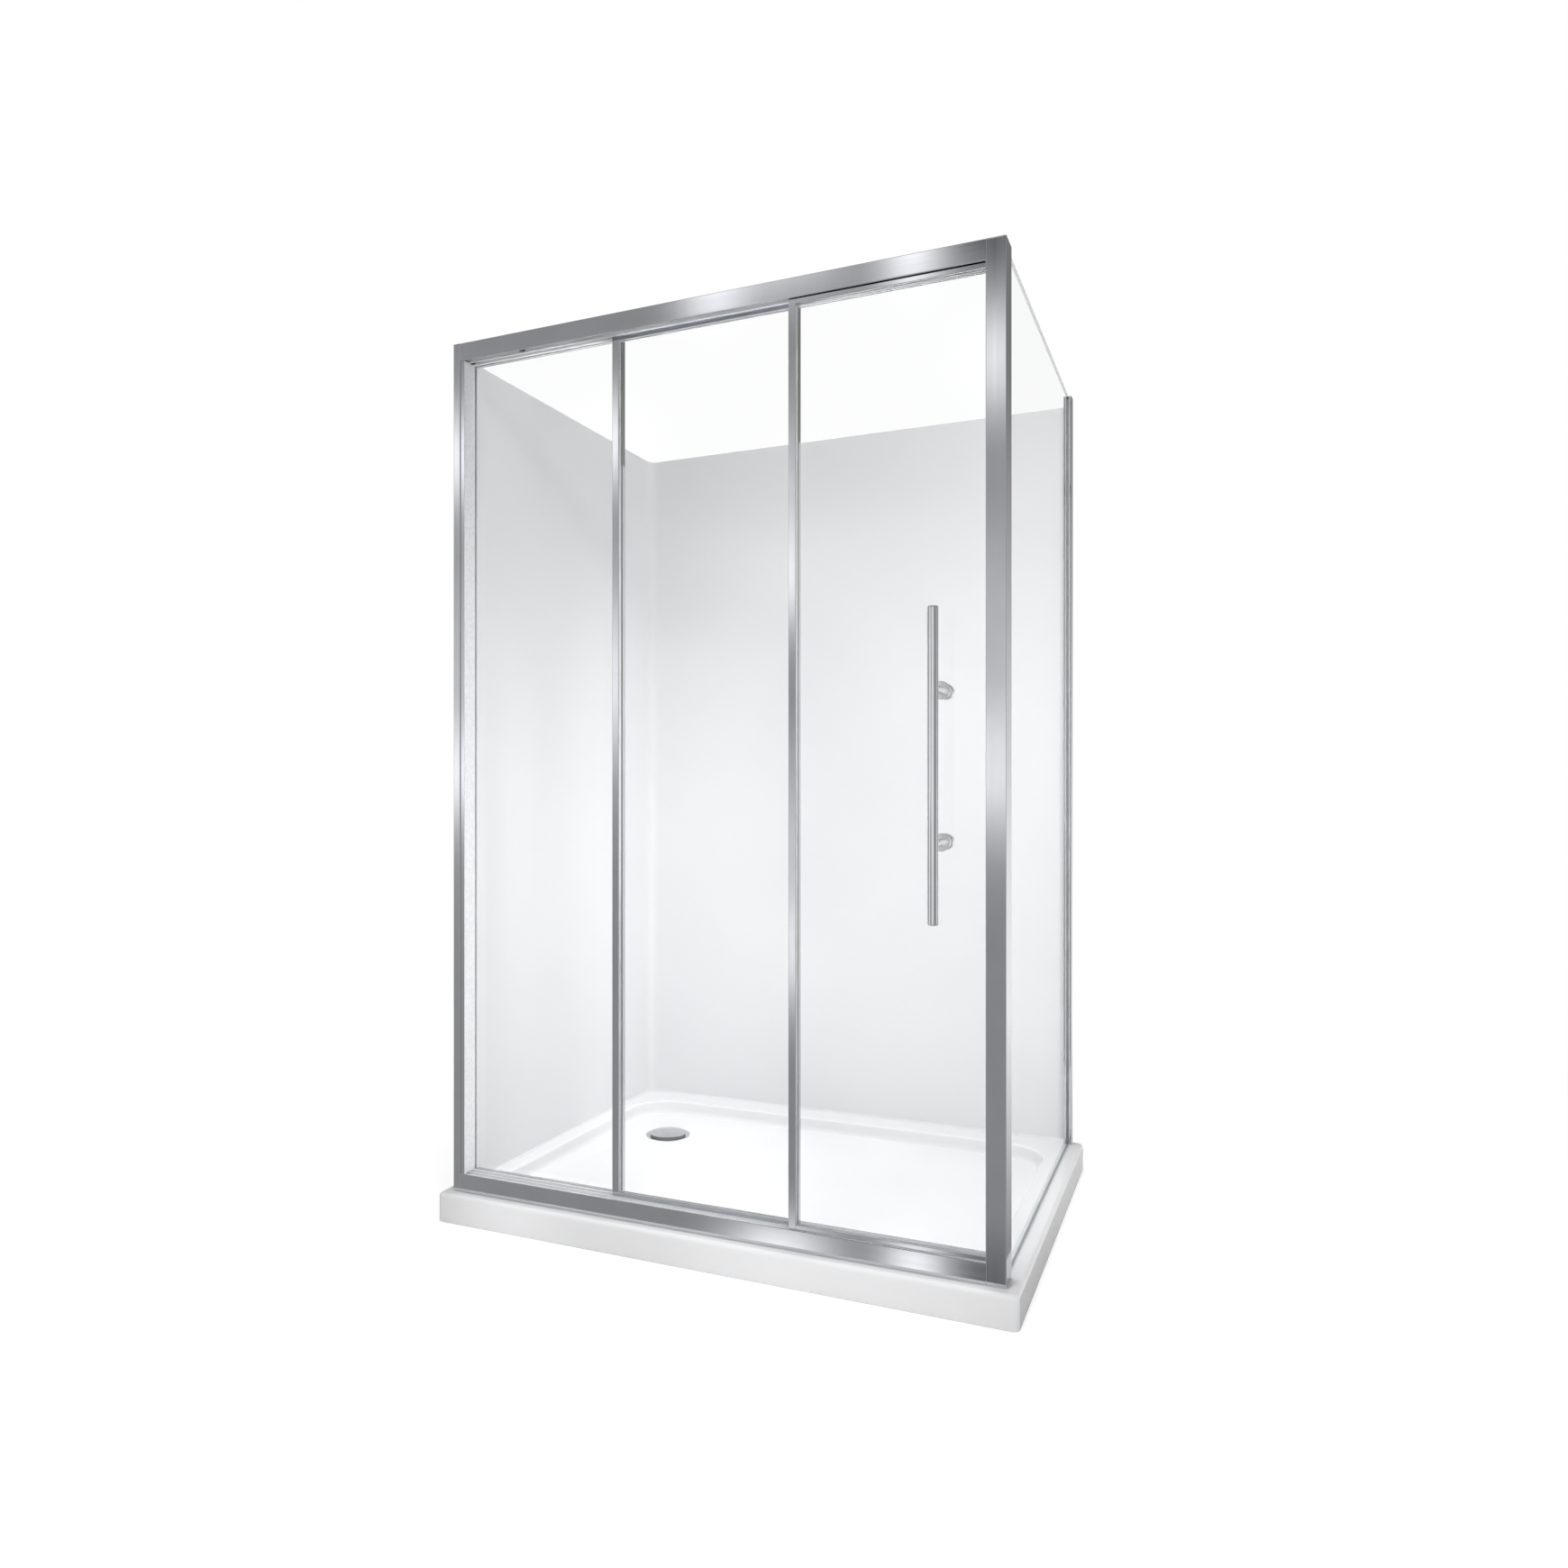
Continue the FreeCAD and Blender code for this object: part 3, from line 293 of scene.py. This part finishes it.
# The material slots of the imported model, and the four finishes that dress_nodes() splits off.
FINISHES = {
    "tray_acrylic": acrylic("tray_acrylic", (0.86, 0.86, 0.87), (0.89, 0.89, 0.90), 0.14),
    "liner_acrylic": acrylic("liner_acrylic", (0.82, 0.82, 0.83), (0.85, 0.85, 0.86), 0.40),
    "silicone": plastic("silicone", (0.80, 0.80, 0.81), (0.85, 0.85, 0.86), 0.35, grain=300.0),
    "rail": rail_metal("rail", *PROFILE),
    "profile_x": metal("profile_x", *PROFILE, along=X_AXIS),
    "profile_z": metal("profile_z", *PROFILE, along=Z_AXIS),
    "end_cap": plastic("end_cap", (0.30, 0.31, 0.33), (0.36, 0.37, 0.39), 0.4),
    "nylon": plastic("nylon", (0.66, 0.66, 0.64), (0.72, 0.72, 0.70), 0.42),
    "steel_hardware": metal("steel_hardware", (0.50, 0.50, 0.50), (0.62, 0.62, 0.61), 0.28),
    "door_glass": glass("door_glass", Y_AXIS, *GLASS_TONES),
    "return_pane": glass("return_pane", X_AXIS, *GLASS_TONES),
    "glazing_gasket": plastic("glazing_gasket", (0.58, 0.585, 0.59), (0.66, 0.665, 0.67), 0.5),
    "clear_seal": clear_vinyl("clear_seal", (0.88, 0.89, 0.90), (0.96, 0.97, 0.97), 0.92),
    "rubber_stop": plastic("rubber_stop", (0.030, 0.030, 0.032), (0.055, 0.055, 0.058), 0.62),
    "handle_chrome": metal("handle_chrome", (0.70, 0.71, 0.73), (0.76, 0.77, 0.79), 0.08, along=Z_AXIS),
    "handle_satin": metal("handle_satin", (0.84, 0.845, 0.85), (0.90, 0.905, 0.91), 0.24),
    "waste_chrome": metal("waste_chrome", (0.60, 0.605, 0.62), (0.68, 0.685, 0.70), 0.18),
    "waste_plastic": plastic("waste_plastic", (0.50, 0.51, 0.52), (0.58, 0.59, 0.60), 0.45),
}
FRAME_RAILS = ("head_rail", "sill_rail", "jamb_adjuster")
DOOR_RAILS = ("middle_top_rail", "middle_bottom_rail", "lead_top_rail", "lead_bottom_rail")
HANDLE_ENDS = ("handle_stems", "handle_rosettes", "handle_knobs")


def profile_finish(name):
    if name in FRAME_RAILS:
        return "rail"
    return "profile_x" if name in DOOR_RAILS else "profile_z"


def dress_nodes():
    """Every node of the frame gets the finish of its own material slot."""
    for name, node in NODES.items():
        for place in node.material_slots:
            finish = place.material.name.split(".")[0]
            if finish == "frame_profile":
                finish = profile_finish(name)
            if name in HANDLE_ENDS and finish == "handle_chrome":
                finish = "handle_satin"
            place.material = FINISHES[finish]


# ---- studio ----
# Soft boxes that metal and glass reflect: degrees left of straight ahead of the front, degrees
# up, half width, half height, brightness. A negative one darkens.
SOFT_BOXES = (
    # seen in the jamb
    (37.7, 16.2, 3.0, 2.1, 1.15),
    (37.9, 0.8, 3.2, 2.3, 0.85),
    (38.0, 4.5, 4.0, 6.5, 0.40),
    # seen in the middle door's left stile
    (30.0, 17.3, 2.6, 2.1, 1.15),
    (30.0, 5.6, 2.8, 3.8, 0.85),
    (31.0, 8.0, 5.0, 9.0, 0.20),
    # seen in the lead door's left stile
    (20.9, 10.6, 2.8, 2.5, 0.85),
    (20.9, 14.2, 3.2, 4.4, 0.60),
    (20.9, -8.3, 2.8, 2.8, 0.75),
    (20.9, -3.0, 3.2, 5.4, 0.55),
    # seen in the corner post
    (10.8, 20.6, 2.2, 2.4, 1.00),
    (10.8, 0.8, 3.2, 3.3, 0.75),
    (10.8, 7.0, 3.4, 7.0, 0.40),
    (11.0, 25.8, 1.6, 2.0, -0.22),
    # seen in the head rail
    (24.9, 24.0, 1.5, 2.4, 1.10),
    (21.8, 25.3, 3.2, 1.6, 0.70),
    (14.8, 25.2, 1.3, 2.2, 1.35),
    # seen in the sill rail
    (21.8, -22.8, 2.3, 1.7, 1.55),
    (14.7, -23.0, 1.3, 2.0, 1.45),
    (11.2, -23.2, 1.6, 2.0, -0.22),
    # wide ones at both sides, seen in the round handle
    (56.0, 0.0, 10.0, 24.0, 0.80),
    (-14.0, 0.0, 11.0, 24.0, 1.00),
)
# Grey that metal and glass reflect in front of the object and behind it, and the part of the
# turn from one to the other, as a sine.
FRONT_GREY, BACK_GREY = 0.36, 0.22
BEHIND_START, BEHIND_END = -0.1, 0.3
# Behind the object a light band: the height, as a sine, where it starts above the horizon, where
# it is brightest and where it ends below.
BAND_TOP, BAND_PEAK, BAND_END = 0.40, -0.19, -0.39
BAND_BRIGHTNESS = 0.85
# The light that falls on what isn't metal: even all round, and stronger from the walls' rear.
AMBIENT = 0.32
REAR_LIGHT = 0.9
REAR_SIDE = Vector((-0.6, 0.8, 0.0))


def soft_box(tree, direction, azimuth, elevation, half_width, half_height):
    """1 in the middle of a soft box, fading out as a bell curve."""
    turn, rise = math.radians(azimuth), math.radians(elevation)
    ahead = Vector((-math.sin(turn) * math.cos(rise), -math.cos(turn) * math.cos(rise), math.sin(rise)))
    side = Vector((0, 0, 1)).cross(ahead).normalized()
    up = ahead.cross(side)
    across = tree.dot(direction, side / math.radians(half_width))
    upward = tree.dot(direction, up / math.radians(half_height))
    towards = tree.dot(direction, ahead)
    across_squared = tree.maths("MULTIPLY", across, across)
    upward_squared = tree.maths("MULTIPLY", upward, upward)
    apart = tree.maths("ADD", across_squared, upward_squared)
    glow = tree.maths("EXPONENT", tree.maths("MULTIPLY", apart, -1.0))
    return tree.maths("MULTIPLY", glow, tree.maths("GREATER_THAN", towards, 0.0))


def make_world():
    """White for the camera, the studio for metal and glass, a soft light for all else."""
    world = bpy.data.worlds.new("studio")
    bpy.context.scene.world = world
    tree = Tree(world)
    direction = tree.add("ShaderNodeTexCoord").outputs["Generated"]
    parts = tree.add("ShaderNodeSeparateXYZ", {0: direction}).outputs
    behind = tree.climb(parts[1], BEHIND_START, BEHIND_END)
    rising = tree.climb(parts[2], BAND_TOP, BAND_PEAK)
    falling = tree.climb(parts[2], BAND_END, BAND_PEAK, shape="LINEAR")
    band = tree.maths("MULTIPLY", tree.maths("MINIMUM", rising, falling), BAND_BRIGHTNESS)
    band = tree.maths("ADD", band, BACK_GREY - FRONT_GREY)
    total = tree.maths("MULTIPLY_ADD", band, behind, FRONT_GREY)
    for *place_and_size, brightness in SOFT_BOXES:
        glow = soft_box(tree, direction, *place_and_size)
        total = tree.maths("MULTIPLY_ADD", glow, brightness, total)
    path = tree.add("ShaderNodeLightPath").outputs
    rearward = tree.maths("MAXIMUM", tree.dot(direction, REAR_SIDE), 0.0)
    even = tree.maths("MULTIPLY_ADD", rearward, REAR_LIGHT, AMBIENT)
    soft = tree.add("ShaderNodeBackground", {"Color": WHITE, "Strength": even}).outputs[0]
    studio = tree.add("ShaderNodeBackground", {"Color": WHITE, "Strength": total}).outputs[0]
    white = tree.add("ShaderNodeBackground", {"Color": WHITE, "Strength": 1.0}).outputs[0]
    unseen = tree.mix(path["Is Glossy Ray"], soft, studio)
    tree.add("ShaderNodeOutputWorld", {"Surface": tree.mix(path["Is Camera Ray"], unseen, white)})


# Lamps, hidden from the camera and from reflections: name, kind, place, aim, watts, then an area
# lamp's width and height, or a spot's cone in degrees and its radius.
AREA, SPOT = "AREA", "SPOT"
LAMPS = (
    ("top", AREA, (0.0, 0.1, 4.0), (0.0, 0.1, 0.0), 56.0, 1.2, 1.2),
    ("front_rim", SPOT, (0.2, -1.1, 3.0), (0.15, -0.25, 0.06), 112.0, 38.0, 0.2),
    ("side_wall_high", SPOT, (1.6, -2.2, 2.3), (-0.575, -0.02, 0.66), 232.0, 30.0, 0.5),
    ("side_wall_low", SPOT, (3.3, -1.1, 1.2), (-0.575, 0.0, 0.66), 165.0, 25.0, 0.6),
    ("back_wall_high", SPOT, (0.9, -1.9, 1.6), (0.55, 0.445, 1.20), 128.0, 60.0, 0.6),
    ("back_wall_low", SPOT, (1.6, -1.6, 0.5), (0.45, 0.445, 0.6), 60.0, 60.0, 0.6),
    ("head_underside", SPOT, (0.0, -0.30, 0.15), (0.0, -0.40, 1.81), 120.0, 44.0, 0.02),
    ("tray_left", AREA, (-0.43, -0.64, 0.035), (-0.43, -0.45, 0.03), 0.06, 0.05, 0.02),
    ("tray_right", AREA, (0.20, -0.90, 0.035), (0.20, -0.45, 0.03), 0.30, 0.25, 0.02),
)


def make_lamp(name, kind, place, aim, watts, first_size, second_size):
    data = bpy.data.lights.new(name, kind)
    data.energy = watts
    if kind == AREA:
        data.shape = "RECTANGLE"
        data.size = first_size
        data.size_y = second_size
    else:
        data.spot_size = math.radians(first_size)
        data.spot_blend = 1.0
        data.shadow_soft_size = second_size
    lamp = bpy.data.objects.new(name, data)
    lamp.location = place
    lamp.rotation_euler = (Vector(aim) - Vector(place)).to_track_quat("-Z", "Y").to_euler()
    lamp.visible_camera = False
    lamp.visible_glossy = False
    bpy.context.scene.collection.objects.link(lamp)


FLOOR_REACH = 14.0
FLOOR_CORNERS = 64
FLOOR_WHITE = 0.88
FLOOR_CLOUDS = 0.8
# What the camera sees of the floor: two greys and a glow that lifts them to the white behind,
# and how far from the middle it fades out.
SEEN_DARK, SEEN_LIGHT = (0.53, 0.53, 0.53), (0.56, 0.56, 0.56)
SEEN_GLOW = 0.62
FADE_START, FADE_END = 1.4, 3.2


def make_floor():
    mesh = bpy.data.meshes.new("floor")
    corners = [(FLOOR_REACH * math.cos(turn), FLOOR_REACH * math.sin(turn), 0)
               for turn in (math.tau * i / FLOOR_CORNERS for i in range(FLOOR_CORNERS))]
    mesh.from_pydata(corners, [], [range(FLOOR_CORNERS)])
    floor = bpy.data.objects.new("floor", mesh)
    bpy.context.scene.collection.objects.link(floor)
    floor.visible_glossy = False
    material, tree = new_material("floor")
    seen = tree.add("ShaderNodeLightPath").outputs["Is Camera Ray"]
    greys = tree.tones(tree.noise(FLOOR_CLOUDS), SEEN_DARK, SEEN_LIGHT)
    shown = tree.add("ShaderNodeBsdfDiffuse", {"Color": greys}).outputs[0]
    plain = (FLOOR_WHITE, FLOOR_WHITE, FLOOR_WHITE, 1.0)
    white = tree.add("ShaderNodeBsdfDiffuse", {"Color": plain}).outputs[0]
    paint = tree.mix(seen, white, shown)
    strength = tree.maths("MULTIPLY", seen, SEEN_GLOW)
    lift = tree.add("ShaderNodeEmission", {"Strength": strength}).outputs[0]
    lifted = tree.add("ShaderNodeAddShader", {0: paint, 1: lift}).outputs[0]
    here = tree.add("ShaderNodeTexCoord").outputs["Object"]
    away = tree.add("ShaderNodeVectorMath", {0: here}, operation="LENGTH").outputs["Value"]
    fade = tree.climb(away, FADE_START, FADE_END)
    gone = tree.add("ShaderNodeBsdfTransparent", {"Color": WHITE}).outputs[0]
    tree.finish(tree.mix(tree.maths("MULTIPLY", fade, seen), lifted, gone))
    mesh.materials.append(material)


make_camera()
make_world()
make_floor()
for lamp_settings in LAMPS:
    make_lamp(*lamp_settings)
dress_nodes()

bpy.context.scene.view_settings.view_transform = "Standard"
